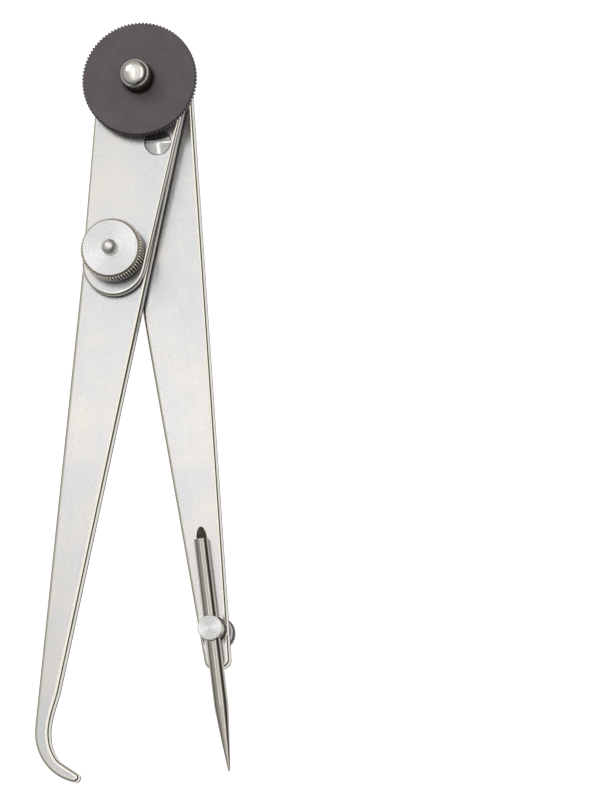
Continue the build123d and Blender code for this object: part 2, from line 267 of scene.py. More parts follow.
def boxCutter(name, low, high, turn, place):
    # a plain block turned about Z, used only to cut
    x, y, z = np.meshgrid((low[0], high[0]), (low[1], high[1]), (low[2], high[2]), indexing="ij")
    c, s = math.cos(turn), math.sin(turn)
    across, along = x * c - y * s + place[0], x * s + y * c + place[1]
    points = np.column_stack((across.ravel(), along.ravel(), z.ravel()))
    faces = np.array([[0, 1, 3, 2], [4, 6, 7, 5], [0, 4, 5, 1], [2, 3, 7, 6], [0, 2, 6, 4], [1, 5, 7, 3]])
    return meshPiece(name, points, [(faces, False)])


def carve(piece, cutters):
    # takes the cutters out of the piece and removes them
    for cutter in cutters:
        cut = piece.modifiers.new("cut", "BOOLEAN")
        cut.operation = "DIFFERENCE"
        cut.solver = "EXACT"
        cut.object = cutter
    bpy.context.view_layer.update()
    carved = bpy.data.meshes.new_from_object(piece.evaluated_get(bpy.context.evaluated_depsgraph_get()))
    carved.name = piece.name
    piece.modifiers.clear()
    piece.data = carved
    for cutter in cutters:
        bpy.data.objects.remove(cutter)


def holeCutter(place, radius, low, high, breakOut=0.0):
    # a drill: a plain cylinder, flared at its front end where the hole's mouth is broken
    return turnedPiece("drill", np.array([[0, low, 0], [radius, low, 0], [radius, high - breakOut, 0],
                                          [radius + 2 * breakOut, high + breakOut, 0],
                                          [radius + 2 * breakOut, high + mm, 0], [0, high + mm, 0]]),
                       place, 96)


# shader tools
def joined(tree, socket, value):
    if isinstance(value, bpy.types.NodeSocket):
        tree.links.new(value, socket)
    else:
        socket.default_value = value


def calc(tree, operation, *values):
    node = tree.nodes.new("ShaderNodeMath")
    node.operation = operation
    for socket, value in zip(node.inputs, values):
        joined(tree, socket, value)
    return node.outputs[0]


def vectorCalc(tree, operation, *values):
    node = tree.nodes.new("ShaderNodeVectorMath")
    node.operation = operation
    for place, value in enumerate(values):
        scaled = operation == "SCALE" and place == 1
        joined(tree, node.inputs["Scale"] if scaled else node.inputs[place], value)
    return node.outputs["Value"] if operation in ("LENGTH", "DOT_PRODUCT") else node.outputs["Vector"]


def ranged(tree, value, low, high, toLow, toHigh):
    node = tree.nodes.new("ShaderNodeMapRange")
    for name, setting in (("Value", value), ("From Min", low), ("From Max", high),
                          ("To Min", toLow), ("To Max", toHigh)):
        joined(tree, node.inputs[name], setting)
    return node.outputs[0]


def noise(tree, vector, scale, detail=2.0, roughness=0.5):
    node = tree.nodes.new("ShaderNodeTexNoise")
    joined(tree, node.inputs["Vector"], vector)
    joined(tree, node.inputs["Scale"], scale)
    node.inputs["Detail"].default_value = detail
    node.inputs["Roughness"].default_value = roughness
    return node.outputs[0]


def blended(tree, share, first, second):
    node = tree.nodes.new("ShaderNodeMix")
    node.data_type = "RGBA"
    for socket, value in ((node.inputs[0], share), (node.inputs[6], first), (node.inputs[7], second)):
        joined(tree, socket, value)
    return node.outputs[2]


def newGroup(name, inputs, outputs):
    group = bpy.data.node_groups.new(name, "ShaderNodeTree")
    for label, kind, value in inputs:
        socket = group.interface.new_socket(name=label, in_out="INPUT", socket_type="NodeSocket" + kind)
        socket.default_value = value
    for label, kind in outputs:
        group.interface.new_socket(name=label, in_out="OUTPUT", socket_type="NodeSocket" + kind)
    return group, group.nodes.new("NodeGroupInput").outputs, group.nodes.new("NodeGroupOutput").inputs


def placed(tree, group, **values):
    node = tree.nodes.new("ShaderNodeGroup")
    node.node_tree = group
    for label, value in values.items():
        joined(tree, node.inputs[label], value)
    return node.outputs


def bumped(tree, shader, height, strength, distance):
    bump = tree.nodes.new("ShaderNodeBump")
    bump.inputs["Strength"].default_value = strength
    bump.inputs["Distance"].default_value = distance
    tree.links.new(height, bump.inputs["Height"])
    tree.links.new(bump.outputs[0], shader.inputs["Normal"])


def fromAxis(tree, vector):
    # how far a place is from the Z axis of the vector
    return vectorCalc(tree, "LENGTH", vectorCalc(tree, "MULTIPLY", vector, (1, 1, 0)))


# brushing along Y of the vector: noise drawn out along the strokes, in two widths
grainGroup, grainIn, grainOut = newGroup(
    "lengthwiseGrain",
    [("Vector", "Vector", (0, 0, 0)), ("Across", "Float", 4000.0), ("Along", "Float", 90.0)],
    [("Fine", "Float"), ("Broad", "Float")])
tree = grainGroup
stretch = tree.nodes.new("ShaderNodeCombineXYZ")
for axis, source in (("X", "Across"), ("Y", "Along"), ("Z", "Across")):
    tree.links.new(grainIn[source], stretch.inputs[axis])
stroke = vectorCalc(tree, "MULTIPLY", grainIn["Vector"], stretch.outputs[0])
tree.links.new(noise(tree, stroke, 1.0, 3.0, 0.65), grainOut["Fine"])
tree.links.new(noise(tree, stroke, 0.17, 2.0, 0.5), grainOut["Broad"])

# soft patches of tone, as a plated or hand-polished face has
cloudGroup, cloudIn, cloudOut = newGroup(
    "cloudPatches",
    [("Vector", "Vector", (0, 0, 0)), ("Scale", "Float", 70.0)],
    [("Large", "Float"), ("Small", "Float")])
tree = cloudGroup
large = noise(tree, cloudIn["Vector"], cloudIn["Scale"], 2.0, 0.5)
small = noise(tree, cloudIn["Vector"], calc(tree, "MULTIPLY", cloudIn["Scale"], 4.0), 1.0, 0.4)
tree.links.new(ranged(tree, large, 0.35, 0.65, 0.0, 1.0), cloudOut["Large"])
tree.links.new(ranged(tree, small, 0.3, 0.7, 0.0, 1.0), cloudOut["Small"])

# lathe marks about Z of the vector: tone by radius, and a normal tipped in or out ring by ring
ringGroup, ringIn, ringOut = newGroup(
    "turnedMarks",
    [("Vector", "Vector", (0, 0, 0)), ("Rings", "Float", 2600.0), ("Tip", "Float", 0.1)],
    [("Marks", "Float"), ("Normal", "Vector")])
tree = ringGroup
flat = vectorCalc(tree, "MULTIPLY", ringIn["Vector"], (1, 1, 0))
distance = vectorCalc(tree, "LENGTH", flat)
lines = tree.nodes.new("ShaderNodeTexNoise")
lines.noise_dimensions = "1D"
tree.links.new(calc(tree, "MULTIPLY", distance, ringIn["Rings"]), lines.inputs["W"])
lines.inputs["Scale"].default_value = 1.0
lines.inputs["Detail"].default_value = 3.0
tree.links.new(lines.outputs[0], ringOut["Marks"])
grooves = tree.nodes.new("ShaderNodeTexWhiteNoise")
grooves.noise_dimensions = "1D"
ringNumber = calc(tree, "FLOOR", calc(tree, "MULTIPLY", distance, 40000.0))
tree.links.new(ringNumber, grooves.inputs["W"])
lean = calc(tree, "MULTIPLY", calc(tree, "SUBTRACT", grooves.outputs[0], 0.5), ringIn["Tip"])
surface = tree.nodes.new("ShaderNodeNewGeometry")
tipped = vectorCalc(tree, "SCALE", vectorCalc(tree, "NORMALIZE", flat), lean)
leaning = vectorCalc(tree, "NORMALIZE", vectorCalc(tree, "ADD", surface.outputs["Normal"], tipped))
tree.links.new(leaning, ringOut["Normal"])

# the mesh's edge value, broken up by noise: above 0 a mask for polished corners with a painted highlight,
# below 0 a mask for painted shade
wearAndPaintedLightGroup, wearAndPaintedLightIn, wearAndPaintedLightOut = newGroup(
    "edgeWearAndPaintedLight",
    [("Vector", "Vector", (0, 0, 0)), ("Scale", "Float", 900.0), ("Breakup", "Float", 0.35)],
    [("Mask", "Float"), ("PaintedShade", "Float")])
tree = wearAndPaintedLightGroup
edgeValue = tree.nodes.new("ShaderNodeAttribute")
edgeValue.attribute_name = "edge"
broken = calc(tree, "MULTIPLY", noise(tree, wearAndPaintedLightIn["Vector"], wearAndPaintedLightIn["Scale"], 2.0, 0.5), wearAndPaintedLightIn["Breakup"])
wearAndLight = calc(tree, "SUBTRACT", edgeValue.outputs["Fac"], broken)
tree.links.new(ranged(tree, wearAndLight, 0.0, 0.8, 0.0, 1.0), wearAndPaintedLightOut["Mask"])
shadeLevel = calc(tree, "SUBTRACT", calc(tree, "MULTIPLY", edgeValue.outputs["Fac"], -1.0), broken)
tree.links.new(ranged(tree, shadeLevel, 0.0, 0.75, 0.0, 1.0), wearAndPaintedLightOut["PaintedShade"])
print("shader groups built")


def dulled(tree, shader, paintedShade, roughness):
    # painted shade is matt and no longer metallic, wherever its mask is above 0
    joined(tree, shader.inputs["Metallic"], calc(tree, "SUBTRACT", 1.0, paintedShade))
    joined(tree, shader.inputs["Roughness"], ranged(tree, paintedShade, 0.0, 1.0, roughness, 0.9))
    shader.inputs["Specular IOR Level"].default_value = 0.05


def newMaterial(name, turn=0.0, centre=(0, 0, 0)):
    material = bpy.data.materials.new(name)
    material.use_nodes = True
    tree = material.node_tree
    shader = tree.nodes["Principled BSDF"]
    coordinates = tree.nodes.new("ShaderNodeTexCoord")
    mapping = tree.nodes.new("ShaderNodeMapping")
    mapping.vector_type = "TEXTURE"
    mapping.inputs["Location"].default_value = centre
    mapping.inputs["Rotation"].default_value = (0, 0, turn)
    tree.links.new(coordinates.outputs["Object"], mapping.inputs["Vector"])
    return material, tree, shader, mapping.outputs[0]


# legLook: edgeTone is a painted highlight on polished corners and upper walls, the near-black tone is painted
# shade on lower walls and rear corners, and brightAt with brightSpan place a painted pool of light along the
# bar
legLook = dict(warm=(0.650, 0.626, 0.596, 1), cool=(0.585, 0.594, 0.612, 1), edgeTone=(0.82, 0.785, 0.70, 1),
               paintedShadeTone=(0.075, 0.060, 0.042, 1), roughness=0.27, edgeRoughness=0.12, bump=0.05,
               grainDepth=0.003 * mm, brightAt=75 * mm, brightSpan=70 * mm, across=3600.0, along=70.0,
               cloud=75.0)


def legSteel(name, turn):
    # nickel-bright flat steel: cloudy warm and cool patches, faint brushing, a painted pool of light that is
    # brightest midway along the bar, a painted highlight on the polished corners and painted shade low on the
    # walls
    material, tree, shader, vector = newMaterial(name, turn)
    grain = placed(tree, grainGroup, Vector=vector, Across=legLook["across"], Along=legLook["along"])
    cloud = placed(tree, cloudGroup, Vector=vector, Scale=legLook["cloud"])
    wearAndLight = placed(tree, wearAndPaintedLightGroup, Vector=vector)
    polishAndHighlight = wearAndLight["Mask"]
    tone = blended(tree, cloud["Large"], legLook["warm"], legLook["cool"])
    streaks = ranged(tree, grain["Fine"], 0.3, 0.7, 0.99, 1.006)
    broad = ranged(tree, grain["Broad"], 0.3, 0.7, 0.985, 1.015)
    patches = ranged(tree, cloud["Small"], 0.0, 1.0, 0.975, 1.02)
    value = calc(tree, "MULTIPLY", calc(tree, "MULTIPLY", streaks, broad), patches)
    # a painted pool of light: brighter midway along the bar, darker towards its ends
    along = vectorCalc(tree, "DOT_PRODUCT", vector, (0, -1, 0))
    away = calc(tree, "ABSOLUTE", calc(tree, "SUBTRACT", along, legLook["brightAt"]))
    paintedLightPool = ranged(tree, away, 0.0, legLook["brightSpan"], 1.05, 0.89)
    face = vectorCalc(tree, "SCALE", tone, calc(tree, "MULTIPLY", value, paintedLightPool))
    # painted highlight on the polished corners and upper walls, then painted shade on the lower walls and
    # rear corners
    polishedAndHighlit = blended(tree, polishAndHighlight, face, legLook["edgeTone"])
    joined(tree, shader.inputs["Base Color"], blended(tree, wearAndLight["PaintedShade"], polishedAndHighlit, legLook["paintedShadeTone"]))
    rough = ranged(tree, cloud["Small"], 0.0, 1.0, legLook["roughness"] - 0.01, legLook["roughness"] + 0.02)
    edgeRough = calc(tree, "MULTIPLY", polishAndHighlight, legLook["roughness"] - legLook["edgeRoughness"])
    dulled(tree, shader, wearAndLight["PaintedShade"], calc(tree, "SUBTRACT", rough, edgeRough))
    bumped(tree, shader, grain["Fine"], legLook["bump"], legLook["grainDepth"])
    return material


# discLook: edge is a painted glint on crests and bevels, the near-black tone is painted shade in the knurl
# roots, and rimTone is painted shade on the rim
discLook = dict(face=(0.100, 0.080, 0.088, 1), streak=(0.132, 0.105, 0.116, 1), edge=(0.26, 0.24, 0.24, 1),
                paintedShade=(0.012, 0.010, 0.010, 1), roughness=0.44, across=2600.0, along=240.0, cloud=160.0,
                grainTurn=math.radians(24), rimWidth=0.05 * mm, rimTone=0.16, bump=0.3, grainDepth=0.004 * mm)


def blackSteel(name, rimFrom):
    # blackened steel with a fine slanting grain; painted shade darkens the rim outside rimFrom, painted
    # glints lighten crests and bevels, and painted shade blackens the knurl roots
    material, tree, shader, vector = newMaterial(name, discLook["grainTurn"])
    grain = placed(tree, grainGroup, Vector=vector, Across=discLook["across"], Along=discLook["along"])
    cloud = placed(tree, cloudGroup, Vector=vector, Scale=discLook["cloud"])
    wearAndLight = placed(tree, wearAndPaintedLightGroup, Vector=vector, Scale=1500.0, Breakup=0.9)
    streaks = ranged(tree, grain["Fine"], 0.3, 0.7, 0.0, 1.0)
    streaked = blended(tree, streaks, discLook["face"], discLook["streak"])
    toned = vectorCalc(tree, "SCALE", streaked, ranged(tree, cloud["Large"], 0.0, 1.0, 0.93, 1.12))
    # painted shade: the rim outside rimFrom is darkened to rimTone
    rimTo = rimFrom + discLook["rimWidth"]
    rim = ranged(tree, fromAxis(tree, vector), rimFrom, rimTo, 1.0, discLook["rimTone"])
    faced = vectorCalc(tree, "SCALE", toned, rim)
    # painted glints on crests and bevels, then painted shade in the knurl roots
    polishedAndHighlit = blended(tree, wearAndLight["Mask"], faced, discLook["edge"])
    joined(tree, shader.inputs["Base Color"], blended(tree, wearAndLight["PaintedShade"], polishedAndHighlit, discLook["paintedShade"]))
    matt = discLook["roughness"]
    rough = ranged(tree, grain["Fine"], 0.25, 0.75, matt - 0.05, matt + 0.06)
    joined(tree, shader.inputs["Roughness"], rough)
    shader.inputs["Metallic"].default_value = 0.0
    bumped(tree, shader, grain["Fine"], discLook["bump"], discLook["grainDepth"])
    return material


# turnedLook: crest is a painted highlight on knurl crests and rounded corners, root is painted shade in the
# knurl roots
turnedLook = dict(face=(0.64, 0.64, 0.638, 1), dark=(0.56, 0.56, 0.56, 1), crest=(0.72, 0.68, 0.60, 1),
                  root=(0.045, 0.035, 0.025, 1), roughness=0.27, cloud=240.0, knurlFade=0.06 * mm)


def turnedSteel(name, place, rings, tip, knurlFrom, knurl=(0.40, 0.36, 0.30, 1), anisotropy=0.6):
    # bright turned faces with lathe marks; outside knurlFrom the metal is darker. Crests and rounded corners
    # get a painted highlight and knurl roots painted shade. The shader's own highlight is drawn out across
    # the marks, so the tangent runs round the axis
    material, tree, shader, vector = newMaterial(name, 0.0, (place[0], place[1], 0))
    marks = placed(tree, ringGroup, Vector=vector, Rings=rings, Tip=tip)
    cloud = placed(tree, cloudGroup, Vector=vector, Scale=turnedLook["cloud"])
    ringTone = ranged(tree, marks["Marks"], 0.3, 0.7, 0.0, 1.0)
    tone = blended(tree, ringTone, turnedLook["dark"], turnedLook["face"])
    toned = vectorCalc(tree, "SCALE", tone, ranged(tree, cloud["Large"], 0.0, 1.0, 0.96, 1.02))
    knurled = ranged(tree, fromAxis(tree, vector), knurlFrom, knurlFrom + turnedLook["knurlFade"], 0.0, 1.0)
    wearAndLight = placed(tree, wearAndPaintedLightGroup, Vector=vector, Scale=1400.0, Breakup=0.3)
    banded = blended(tree, knurled, toned, knurl)
    # painted highlight on crests and rounded corners, then painted shade in the knurl roots
    crestHighlit = blended(tree, calc(tree, "MULTIPLY", wearAndLight["Mask"], 0.7), banded, turnedLook["crest"])
    joined(tree, shader.inputs["Base Color"], blended(tree, wearAndLight["PaintedShade"], crestHighlit, turnedLook["root"]))
    satin = turnedLook["roughness"]
    dulled(tree, shader, wearAndLight["PaintedShade"], ranged(tree, marks["Marks"], 0.25, 0.75, satin - 0.05, satin + 0.05))
    tree.links.new(marks["Normal"], shader.inputs["Normal"])
    shader.inputs["Anisotropic"].default_value = anisotropy
    spoke = vectorCalc(tree, "NORMALIZE", vectorCalc(tree, "MULTIPLY", vector, (1, 1, 0)))
    tree.links.new(vectorCalc(tree, "CROSS_PRODUCT", (0, 0, 1), spoke), shader.inputs["Tangent"])
    return material


def polishedSteel(name, tone, roughness, place):
    # bright polished steel with fine handling scratches, blackened with painted shade where its edge value is
    # low
    material, tree, shader, vector = newMaterial(name, math.radians(35), (place[0], place[1], 0))
    grain = placed(tree, grainGroup, Vector=vector, Across=5200.0, Along=500.0)
    cloud = placed(tree, cloudGroup, Vector=vector, Scale=420.0)
    value = calc(tree, "MULTIPLY", ranged(tree, grain["Broad"], 0.3, 0.7, 0.95, 1.03),
                 ranged(tree, cloud["Large"], 0.0, 1.0, 0.95, 1.03))
    wearAndLight = placed(tree, wearAndPaintedLightGroup, Vector=vector, Scale=1200.0, Breakup=0.2)
    unshaded = vectorCalc(tree, "SCALE", tone, value)
    # painted shade where the edge value is below 0
    joined(tree, shader.inputs["Base Color"], blended(tree, wearAndLight["PaintedShade"], unshaded, (0.030, 0.024, 0.018, 1)))
    scratched = ranged(tree, grain["Fine"], 0.3, 0.75, roughness - 0.02, roughness + 0.06)
    dulled(tree, shader, wearAndLight["PaintedShade"], scratched)
    return material


rodLook = dict(light=(0.57, 0.53, 0.48, 1), dark=(0.44, 0.41, 0.37, 1), roughness=0.10,
               bump=0.15, grainDepth=0.002 * mm)


def groundSteel(name):
    # the scriber's hard steel: long grinding streaks, with fine rings across them
    material, tree, shader, vector = newMaterial(name)
    grain = placed(tree, grainGroup, Vector=vector, Across=4200.0, Along=110.0)
    rings = placed(tree, grainGroup, Vector=vector, Across=500.0, Along=5200.0)
    tone = blended(tree, ranged(tree, grain["Fine"], 0.3, 0.7, 0.0, 1.0), rodLook["dark"], rodLook["light"])
    joined(tree, shader.inputs["Base Color"], vectorCalc(tree, "SCALE", tone,
                                                         ranged(tree, rings["Fine"], 0.3, 0.7, 0.93, 1.04)))
    ground = rodLook["roughness"]
    rough = ranged(tree, rings["Fine"], 0.25, 0.75, ground - 0.03, ground + 0.05)
    joined(tree, shader.inputs["Roughness"], rough)
    shader.inputs["Metallic"].default_value = 1.0
    bumped(tree, shader, rings["Fine"], rodLook["bump"], rodLook["grainDepth"])
    return material


def finished(piece, material, body, node):
    piece.data.materials.clear()
    piece.data.materials.append(material)
    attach(piece, body)
    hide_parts(node)
    print("piece:", piece.name, len(piece.data.polygons), "faces")


# point leg: the rear bar, with the scriber's groove and the clamp's pocket
pointLeg = dict(endCorner=2.0 * mm, endWidth=5.7 * mm, rearRound=0.5 * mm, frontRound=0.75 * mm,
                wallBow=0.06 * mm, footHole=4.72 * mm, footFloor=0.66 * mm, pocket=2.975 * mm,
                pocketFloor=1.2 * mm, shankHole=1.6 * mm, grooveRoom=0.02 * mm, grooveEnd=98.6 * mm,
                grooveNose=4.1 * mm)


def pointLegOutline(size):
    # a large round head and a square end with round corners, joined by straight tangent edges
    head = pointHigh[0]
    corner = size["endCorner"]
    cornerX = size["endWidth"] / 2 - corner
    cornerY = pointLow[1] + corner
    span = math.hypot(cornerX, cornerY)
    tangent = math.degrees(math.asin((head - corner) / span) - math.atan2(cornerX, -cornerY))
    sweep = arcPoints((0, 0), head, -tangent, 180 + tangent, 160)
    left = arcPoints((-cornerX, cornerY), corner, 180 + tangent, 270, 26)
    right = arcPoints((cornerX, cornerY), corner, 270, 360 - tangent, 26)
    return np.vstack((sweep, linePoints(sweep[-1], left[0], 50), left, linePoints(left[-1], right[0], 4),
                      right, linePoints(right[-1], sweep[0], 50)))


def grooveCutter(size):
    # the round groove, whose upper end runs out as a drawn-out half ball
    radius = rodRadius + size["grooveRoom"]
    nose = size["grooveNose"]
    faceHeight = rodHeight - pointHigh[2]
    start = size["grooveEnd"] + nose * math.sqrt(1 - (faceHeight / radius) ** 2)
    share = np.linspace(0, math.pi / 2, 18)
    path = np.column_stack((radius * np.sin(share), start - nose * np.cos(share), np.zeros(18)))
    end = -pointLow[1] + 2 * mm
    path = np.vstack((path, [[radius, end, 0], [0, end, 0]]))
    return turnedPiece("groove", path, jointPlace, 128, alongRod=True)


piece = platePiece("pointLegBar", pointLegOutline(pointLeg),
                   edgePath(pointLow[2], pointHigh[2], pointLeg["rearRound"], pointLeg["frontRound"],
                            pointLeg["wallBow"]))
carve(piece, [grooveCutter(pointLeg),
              holeCutter(clampPlace, pointLeg["pocket"], pointLeg["pocketFloor"], pointHigh[2], 0.06 * mm),
              holeCutter(clampPlace, pointLeg["shankHole"], pointLow[2] - mm, pointHigh[2]),
              holeCutter(jointPlace, pointLeg["footHole"], pointLeg["footFloor"], pointHigh[2])])
finished(piece, legSteel("pointLegSteel", 0.0), "point_leg_body", "point_leg")

# hook leg: the middle bar, whose foot turns inwards
hookLeg = dict(headRadius=9.8 * mm, taper=math.radians(3.2), straight=134.0 * mm, heel=140.5 * mm,
               rearRound=0.5 * mm, frontRound=0.8 * mm, wallBow=0.06 * mm, collarHole=5.7 * mm,
               stemHole=1.69 * mm, screwHole=1.59 * mm,
               innerBend=((1.5, -142.0), (2.35, -146.3), (5.2, -149.7)),
               toe=((8.75, -151.35), (9.62, -152.55), (8.3, -153.6)),
               outerBend=((3.53, -152.05), (0.68, -149.5), (-1.35, -145.6)))


def arcThrough(first, second, third, count):
    # the round stretch through three points: its centre is as far from each of them
    first, second, third = np.array(first), np.array(second), np.array(third)
    sides = np.array([second - first, third - second]) * 2
    squares = np.array([second @ second - first @ first, third @ third - second @ second])
    centre = np.linalg.solve(sides, squares)
    start = math.degrees(math.atan2(*(first - centre)[::-1]))
    end = math.degrees(math.atan2(*(third - centre)[::-1]))
    if end > start:
        end -= 360
    return arcPoints(centre, float(np.linalg.norm(first - centre)), start, end, count)


def hookOutline(size):
    taper = size["taper"]
    head = size["headRadius"]
    edgeX = head / math.cos(taper)
    inner = np.array((edgeX - size["straight"] * math.tan(taper), -size["straight"]))
    heel = np.array((-(edgeX - size["heel"] * math.tan(taper)), -size["heel"]))
    innerBend = clampedSpline([inner, *[np.array(p) * mm for p in size["innerBend"]]],
                              (-math.sin(taper), -math.cos(taper)), (0.9, -0.44), 46)
    toe = arcThrough(*[np.array(p) * mm for p in size["toe"]], 26)
    outerBend = clampedSpline([toe[-1], *[np.array(p) * mm for p in size["outerBend"]], heel],
                              (-1, 0.08), (-math.sin(taper), math.cos(taper)), 60)
    crown = arcPoints((0, 0), head, 180 + math.degrees(taper), -math.degrees(taper), 150)
    clockwise = np.vstack((crown, linePoints(crown[-1], inner, 60), innerBend,
                           linePoints(innerBend[-1], toe[0], 6), toe, outerBend[1:],
                           linePoints(heel, crown[0], 60)))
    return turnedToHook(clockwise[::-1])


piece = platePiece("hookLegBar", hookOutline(hookLeg),
                   edgePath(hookLow[2], hookHigh[2], hookLeg["rearRound"], hookLeg["frontRound"],
                            hookLeg["wallBow"]))
through = (hookLow[2] - mm, hookHigh[2])
carve(piece, [holeCutter(jointPlace, hookLeg["collarHole"], *through),
              holeCutter(bindingPlace, hookLeg["stemHole"], *through),
              holeCutter(screwPlace, hookLeg["screwHole"], *through)])
finished(piece, legSteel("hookLegSteel", -openingAngle), "hook_leg_body", "hook_leg")

# transfer leaf: the front plate under the lock disc
leaf = dict(headRadius=10.1 * mm, endRadius=7.08 * mm, endDistance=40.7 * mm, rearRound=0.2 * mm,
            frontRound=0.6 * mm, wallBow=0.03 * mm, studHole=3.53 * mm, headHole=2.93 * mm,
            headFloor=1.1 * mm, shoulderHole=2.03 * mm, mouthBreak=0.10 * mm, stemSlot=1.95 * mm,
            slotSwing=2.4)


def leafOutline(size):
    # two round ends joined by straight tangent edges
    lean = math.degrees(math.asin((size["headRadius"] - size["endRadius"]) / size["endDistance"]))
    crown = arcPoints((0, 0), size["headRadius"], -lean, 180 + lean, 150)
    foot = arcPoints((0, -size["endDistance"]), size["endRadius"], 180 + lean, 360 - lean, 110)
    return turnedToHook(np.vstack((crown, linePoints(crown[-1], foot[0], 24), foot,
                                   linePoints(foot[-1], crown[0], 24))))


def stemPlaces(size):
    # the slot that the binding stud swings in: places on an arc about the screw
    arm = bindingPlace - screwPlace
    middle = math.degrees(math.atan2(arm[1], arm[0]))
    swing = size["slotSwing"]
    return arcPoints(screwPlace, np.linalg.norm(arm), middle - swing, middle + swing, 7)


piece = platePiece("transferLeafPlate", leafOutline(leaf),
                   edgePath(leafLow[2], leafHigh[2], leaf["rearRound"], leaf["frontRound"], leaf["wallBow"]))
through = (leafLow[2] - mm, leafHigh[2])
carve(piece, [holeCutter(jointPlace, leaf["studHole"], *through),
              holeCutter(screwPlace, leaf["headHole"], leafHigh[2] - leaf["headFloor"], leafHigh[2],
                          leaf["mouthBreak"]),
              holeCutter(screwPlace, leaf["shoulderHole"], *through),
              *[holeCutter(place, leaf["stemSlot"], *through) for place in stemPlaces(leaf)]])
finished(piece, legSteel("leafSteel", -openingAngle), "leaf_body", "transfer_leaf")

# slotted shoulder screw, flush in the leaf
screw = dict(head=2.85 * mm, headDepth=1.1 * mm, shoulder=2.0 * mm, thread=1.58 * mm, crown=0.22 * mm,
             slotWidth=0.6 * mm, slotDepth=0.6 * mm, slotTurn=math.radians(-6))
screwLow, screwHigh = boxOf("leaf_pivot_screw")
faceHeight = screwHigh[2] - screw["crown"]
crownShare = np.linspace(0.96, 0, 14)
crownPath = np.column_stack((screw["head"] * crownShare, faceHeight + screw["crown"] * (1 - crownShare ** 2),
                             np.zeros(14)))
shoulderFoot = hookHigh[2]
headFoot = leafHigh[2] - screw["headDepth"]
screwSide = roundedPath([
    (0, screwLow[2], 0, 0), (screw["thread"], screwLow[2], 0.15 * mm, 0),
    (screw["thread"], shoulderFoot, 0, 0),
    (screw["shoulder"], shoulderFoot, 0, 0), (screw["shoulder"], headFoot, 0, 0),
    (screw["head"], headFoot, 0, 0), (screw["head"], faceHeight, 0.08 * mm, 1.0), (0, faceHeight, 0, 0)])[:-1]
piece = turnedPiece("leafPivotScrewTurned", np.vstack((screwSide, crownPath)), screwPlace, 128)
carve(piece, [boxCutter("slot", (-4 * mm, -screw["slotWidth"] / 2, screwHigh[2] - screw["slotDepth"]),
                        (4 * mm, screw["slotWidth"] / 2, screwHigh[2] + mm), screw["slotTurn"], screwPlace)])
# the screw's low tone is partly its own and partly a painted dark reflection on its head
finished(piece, polishedSteel("screwSteel", (0.47, 0.46, 0.45), 0.12, screwPlace),
         "hook_leg_body", "leaf_pivot_screw")

# pivot stud with its ball end
studLow, studHigh = boxOf("pivot_stud")
stud = dict(foot=4.7 * mm, shank=3.5 * mm, ball=3.25 * mm, crown=2.6 * mm, fullness=2.7)


def domeSide(radius, height, top, fullness, count, footShade=0.0):
    # the side of a dome: (r / radius) ^ fullness + (h / height) ^ fullness = 1, so 2 is a plain ellipse
    # and more is a fuller, flatter-topped dome. Painted shade darkens its foot and fades out a third of the
    # way up
    angle = np.linspace(0, math.pi / 2, count)
    return np.column_stack((radius * np.cos(angle).clip(0) ** (2 / fullness),
                            top - height + height * np.sin(angle) ** (2 / fullness),
                            -footShade * (1 - angle / math.radians(30)).clip(0)))


ballCentre = studHigh[2] - stud["crown"]
ballPath = domeSide(stud["ball"], stud["crown"], studHigh[2], stud["fullness"], 44, footShade=1.0)
# the shank and the foot of the ball get painted shade (edge values below 0)
studSide = roundedPath([
    (0, studLow[2], 0, 0), (stud["foot"], studLow[2], 0.1 * mm, 0), (stud["foot"], pointHigh[2], 0, 0),
    (stud["shank"], pointHigh[2], 0, 0), (stud["shank"], discHigh[2] - 0.4 * mm, 0, -1.0),
    (stud["ball"], discHigh[2] - 0.1 * mm, 0, -1.0), (stud["ball"], ballCentre - 0.2 * mm, 0, -0.8)])
piece = turnedPiece("pivotStudTurned", np.vstack((studSide, ballPath)), jointPlace, 192)
finished(piece, polishedSteel("ballSteel", (0.76, 0.74, 0.69), 0.14, jointPlace),
         "point_leg_body", "pivot_stud")

# lock disc
disc = dict(teeth=98, depth=0.38 * mm, crest=0.45, bore=3.55 * mm, hub=7.5 * mm, hubHeight=0.5 * mm,
            rearBevel=1.5 * mm, bevelHeight=0.7 * mm, frontBevel=0.3 * mm, faceFrom=0.6 * mm)
discRadius = 12.7 * mm
discRear = discLow[2] + disc["hubHeight"]
# the hub's corner, the bevels and the bore's mouth get a painted glint (edge values above 0)
discPath = roundedPath([
    (0, discLow[2], 0, 0), (disc["hub"], discLow[2], 0.15 * mm, 1.0),
    (disc["hub"], discRear, 0, 0), (discRadius - disc["rearBevel"], discRear, 0.2 * mm, 0.6),
    (discRadius, discRear + disc["bevelHeight"], 0, 0),
    (discRadius, discHigh[2] - 0.2 * mm, 0, 0),
    (discRadius - disc["frontBevel"], discHigh[2], 0.12 * mm, 0.75),
    (discRadius - disc["faceFrom"], discHigh[2], 0, 0),
    (disc["bore"] + 0.15 * mm, discHigh[2], 0.08 * mm, 0.6),
    (disc["bore"], discHigh[2] - 0.25 * mm, 0, 0), (0, discHigh[2] - 0.25 * mm, 0, 0)])
piece = turnedPiece("lockDiscTurned", discPath, jointPlace, disc["teeth"] * 8,
                    dict(count=disc["teeth"], depth=disc["depth"], radius=discRadius, crest=disc["crest"]))
finished(piece, blackSteel("discBlack", discRadius - disc["frontBevel"]),
         "lock_disc_body", "lock_disc")

